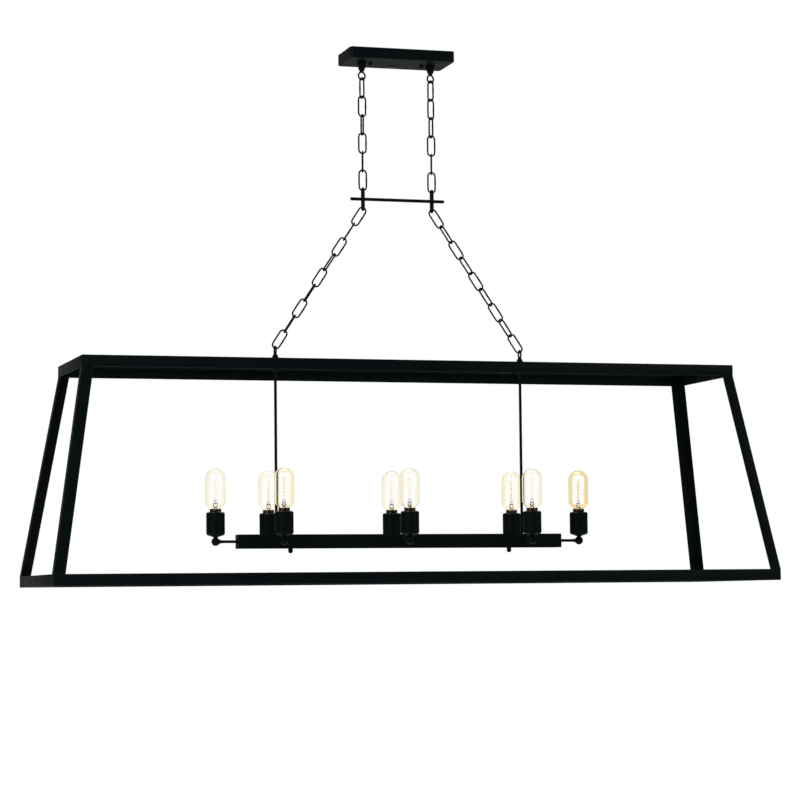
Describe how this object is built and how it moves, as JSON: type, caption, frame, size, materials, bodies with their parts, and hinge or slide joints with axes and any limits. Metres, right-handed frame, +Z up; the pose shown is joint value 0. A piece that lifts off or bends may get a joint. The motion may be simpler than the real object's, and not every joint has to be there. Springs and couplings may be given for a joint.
{
  "type": "linear island pendant",
  "caption": "Linear island pendant: open black steel-angle frame hung on chains, with socket cups and tubular bulbs along a central light bar.",
  "frame": {"origin": "centre of the ceiling face, on top of the mounting strap", "axes": "+Z up, +X along the light bar, -Y the front"},
  "size_m": [1.676, 0.47, 1.227],
  "materials": {
    "black_paint": "satin black powder coat",
    "zinc": "zinc plated steel",
    "black_plastic": "moulded black nylon",
    "phenolic": "moulded black phenolic",
    "bulb_glass": "pale amber tinted clear glass",
    "bulb_metal": "bright screw cap and mount wires"
  },
  "bodies": {
    "canopy": {"canopy_cover": "black_paint", "mounting_strap": "zinc", "canopy_screws": "black_paint", "cable_bushing": "black_plastic", "canopy_loops": "black_paint", "loop_nuts": "zinc"},
    "upper_hanger": {"upper_chain_left": "black_paint", "upper_chain_right": "black_paint", "spreader_rod": "black_paint", "spreader_yokes": "black_paint"},
    "lower_chains": {"lower_chain_left": "black_paint", "lower_chain_right": "black_paint"},
    "frame": {"frame_loops": "black_paint", "top_long_rails": "black_paint", "top_end_rails": "black_paint", "bottom_long_rails": "black_paint", "bottom_end_rails": "black_paint", "corner_posts": "black_paint", "crossbars": "black_paint", "stems": "black_paint", "frame_nuts": "zinc", "light_bar": "black_paint", "bar_end_caps": "black_paint", "bar_cover": "black_paint", "cover_nuts": "black_paint", "lamp_arms": "black_paint", "lamp_balls": "black_paint", "arm_nuts": "black_paint"},
    "lamp_end_left": {"socket_cup_end_left": "black_paint", "lampholder_end_left": "phenolic"},
    "bulb_end_left": {"bulb_glass_end_left": "bulb_glass", "bulb_base_end_left": "bulb_metal"},
    "lamp_end_right": {"socket_cup_end_right": "black_paint", "lampholder_end_right": "phenolic"},
    "bulb_end_right": {"bulb_glass_end_right": "bulb_glass", "bulb_base_end_right": "bulb_metal"},
    "lamp_left_front": {"socket_cup_left_front": "black_paint", "lampholder_left_front": "phenolic"},
    "bulb_left_front": {"bulb_glass_left_front": "bulb_glass", "bulb_base_left_front": "bulb_metal"},
    "lamp_left_rear": {"socket_cup_left_rear": "black_paint", "lampholder_left_rear": "phenolic"},
    "bulb_left_rear": {"bulb_glass_left_rear": "bulb_glass", "bulb_base_left_rear": "bulb_metal"},
    "lamp_centre_front": {"socket_cup_centre_front": "black_paint", "lampholder_centre_front": "phenolic"},
    "bulb_centre_front": {"bulb_glass_centre_front": "bulb_glass", "bulb_base_centre_front": "bulb_metal"},
    "lamp_centre_rear": {"socket_cup_centre_rear": "black_paint", "lampholder_centre_rear": "phenolic"},
    "bulb_centre_rear": {"bulb_glass_centre_rear": "bulb_glass", "bulb_base_centre_rear": "bulb_metal"},
    "lamp_right_front": {"socket_cup_right_front": "black_paint", "lampholder_right_front": "phenolic"},
    "bulb_right_front": {"bulb_glass_right_front": "bulb_glass", "bulb_base_right_front": "bulb_metal"},
    "lamp_right_rear": {"socket_cup_right_rear": "black_paint", "lampholder_right_rear": "phenolic"},
    "bulb_right_rear": {"bulb_glass_right_rear": "bulb_glass", "bulb_base_right_rear": "bulb_metal"}
  },
  "joints": [
    {"name": "ceiling_swing", "type": "hinge", "parent": "canopy", "child": "upper_hanger", "pos_m": [0, 0, -0.065], "axis": [1, 0, 0], "range_deg": [-20, 20]},
    {"name": "lower_chain_swing", "type": "hinge", "parent": "upper_hanger", "child": "lower_chains", "pos_m": [0, 0, -0.36425], "axis": [1, 0, 0], "range_deg": [-20, 20]},
    {"name": "frame_swing", "type": "hinge", "parent": "lower_chains", "child": "frame", "pos_m": [0, 0, -0.69096], "axis": [1, 0, 0], "range_deg": [-20, 20]},
    {"name": "lamp_lean_end_left", "type": "hinge", "parent": "frame", "child": "lamp_end_left", "pos_m": [-0.434, 0, -1.12936], "axis": [1, 0, 0], "range_deg": [-25, 25]},
    {"name": "bulb_out_end_left", "type": "slide", "parent": "lamp_end_left", "child": "bulb_end_left", "axis": [0, 0, 1], "range_m": [0, 0.04]},
    {"name": "lamp_lean_end_right", "type": "hinge", "parent": "frame", "child": "lamp_end_right", "pos_m": [0.434, 0, -1.12936], "axis": [1, 0, 0], "range_deg": [-25, 25]},
    {"name": "bulb_out_end_right", "type": "slide", "parent": "lamp_end_right", "child": "bulb_end_right", "axis": [0, 0, 1], "range_m": [0, 0.04]},
    {"name": "lamp_lean_left_front", "type": "hinge", "parent": "frame", "child": "lamp_left_front", "pos_m": [-0.2935, -0.072, -1.12936], "axis": [0, 1, 0], "range_deg": [-25, 25]},
    {"name": "bulb_out_left_front", "type": "slide", "parent": "lamp_left_front", "child": "bulb_left_front", "axis": [0, 0, 1], "range_m": [0, 0.04]},
    {"name": "lamp_lean_left_rear", "type": "hinge", "parent": "frame", "child": "lamp_left_rear", "pos_m": [-0.2935, 0.072, -1.12936], "axis": [0, 1, 0], "range_deg": [-25, 25]},
    {"name": "bulb_out_left_rear", "type": "slide", "parent": "lamp_left_rear", "child": "bulb_left_rear", "axis": [0, 0, 1], "range_m": [0, 0.04]},
    {"name": "lamp_lean_centre_front", "type": "hinge", "parent": "frame", "child": "lamp_centre_front", "pos_m": [0, -0.072, -1.12936], "axis": [0, 1, 0], "range_deg": [-25, 25]},
    {"name": "bulb_out_centre_front", "type": "slide", "parent": "lamp_centre_front", "child": "bulb_centre_front", "axis": [0, 0, 1], "range_m": [0, 0.04]},
    {"name": "lamp_lean_centre_rear", "type": "hinge", "parent": "frame", "child": "lamp_centre_rear", "pos_m": [0, 0.072, -1.12936], "axis": [0, 1, 0], "range_deg": [-25, 25]},
    {"name": "bulb_out_centre_rear", "type": "slide", "parent": "lamp_centre_rear", "child": "bulb_centre_rear", "axis": [0, 0, 1], "range_m": [0, 0.04]},
    {"name": "lamp_lean_right_front", "type": "hinge", "parent": "frame", "child": "lamp_right_front", "pos_m": [0.2935, -0.072, -1.12936], "axis": [0, 1, 0], "range_deg": [-25, 25]},
    {"name": "bulb_out_right_front", "type": "slide", "parent": "lamp_right_front", "child": "bulb_right_front", "axis": [0, 0, 1], "range_m": [0, 0.04]},
    {"name": "lamp_lean_right_rear", "type": "hinge", "parent": "frame", "child": "lamp_right_rear", "pos_m": [0.2935, 0.072, -1.12936], "axis": [0, 1, 0], "range_deg": [-25, 25]},
    {"name": "bulb_out_right_rear", "type": "slide", "parent": "lamp_right_rear", "child": "bulb_right_rear", "axis": [0, 0, 1], "range_m": [0, 0.04]}
  ]
}
